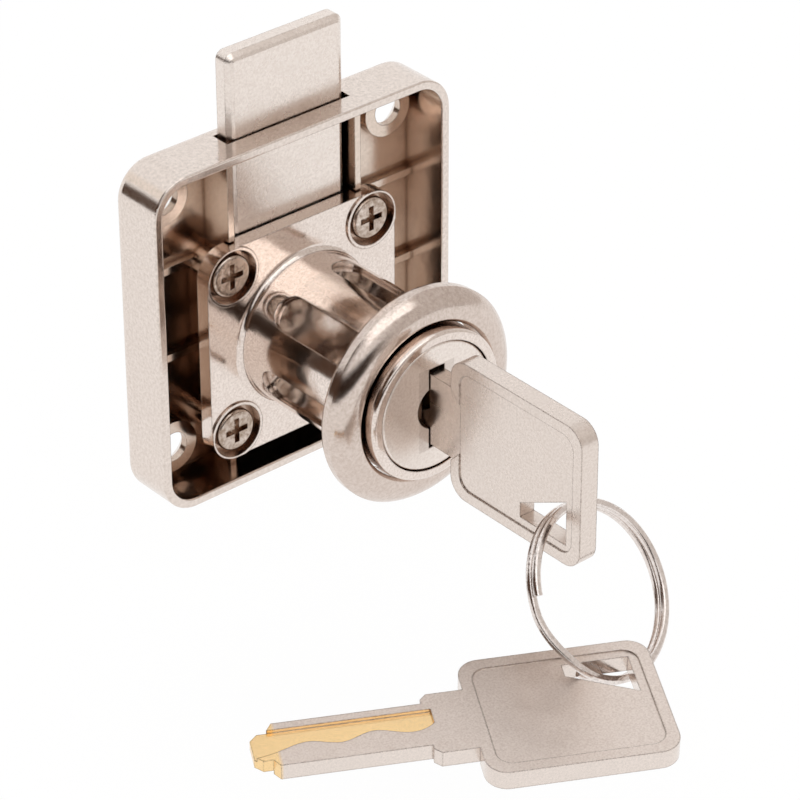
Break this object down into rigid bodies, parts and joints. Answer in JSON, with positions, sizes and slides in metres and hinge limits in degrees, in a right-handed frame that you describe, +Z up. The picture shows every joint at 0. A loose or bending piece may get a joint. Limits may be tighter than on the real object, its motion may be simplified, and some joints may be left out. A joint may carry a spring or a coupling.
{
  "type": "drawer lock",
  "caption": "Surface-mounted drawer lock with a sliding bolt, a fluted key barrel, a drive cam, a trim ring, and flat keys on a split ring.",
  "frame": {"origin": "on the barrel's axis, in the plane of the case's open rim, which bears on the back of the drawer front", "axes": "+X to the right seen from the front of the drawer, +Y into the drawer, +Z up, the way the bolt slides out"},
  "size_m": [0.0588, 0.071, 0.0536],
  "materials": {
    "plated_zinc": "polished nickel plate",
    "plated_steel": "satin nickel plate",
    "plated_brass": "polished nickel plate",
    "key_metal": "satin nickel plate, brass where milled",
    "zinc": "as cast",
    "brass": "stamped",
    "steel": "bright"
  },
  "bodies": {
    "lock_body": {"lock_case": "plated_zinc", "barrel_housing": "plated_zinc", "trim_ring": "plated_zinc", "barrel_screws": "plated_steel", "stop_pin": "steel"},
    "plug_body": {"plug": "plated_brass", "drive_cam": "zinc", "drive_pin": "steel", "cam_screw": "steel", "wafer_springs_up": "steel", "wafer_springs_down": "steel"},
    "bolt_body": {"bolt": "plated_steel"},
    "wafers_up_body": {"wafer_1": "brass", "wafer_3": "brass", "wafer_5": "brass", "wafer_7": "brass"},
    "wafers_down_body": {"wafer_2": "brass", "wafer_4": "brass", "wafer_6": "brass"},
    "key_body": {"key": "key_metal"},
    "ring_body": {"split_ring": "steel"},
    "spare_key_body": {"spare_key": "key_metal"}
  },
  "joints": [
    {"name": "plug_turn", "type": "hinge", "parent": "lock_body", "child": "plug_body", "pos_m": [0, 0, 0], "axis": [0, -1, 0], "range_deg": [0, 180]},
    {"name": "bolt_slide", "type": "slide", "parent": "lock_body", "child": "bolt_body", "axis": [0, 0, -1], "range_m": [0, 0.0096]},
    {"name": "key_slide", "type": "slide", "parent": "plug_body", "child": "key_body", "axis": [0, -1, 0], "range_m": [0, 0.024]},
    {"name": "wafers_up_slide", "type": "slide", "parent": "plug_body", "child": "wafers_up_body", "axis": [0, 0, 1], "range_m": [0, 0.0008], "deforming": ["wafer_springs_up"]},
    {"name": "wafers_down_slide", "type": "slide", "parent": "plug_body", "child": "wafers_down_body", "axis": [0, 0, -1], "range_m": [0, 0.0008], "deforming": ["wafer_springs_down"]},
    {"name": "ring_swing", "type": "hinge", "parent": "key_body", "child": "ring_body", "pos_m": [0.00001, -0.03987, -0.00362], "axis": [0.9744, 0.2229, -0.0295], "range_deg": [-60, 60]},
    {"name": "spare_swing", "type": "hinge", "parent": "ring_body", "child": "spare_key_body", "pos_m": [-0.00495, -0.05001, -0.01626], "axis": [0.7421, -0.2517, -0.6213], "range_deg": [-40, 55]}
  ],
  "couplings": [
    {"joint": "plug_turn", "follows": "bolt_slide", "rad_per_m": 327.2},
    {"joint": "wafers_up_slide", "follows": "key_slide", "ratio": 0.03333},
    {"joint": "wafers_down_slide", "follows": "key_slide", "ratio": 0.03333}
  ]
}
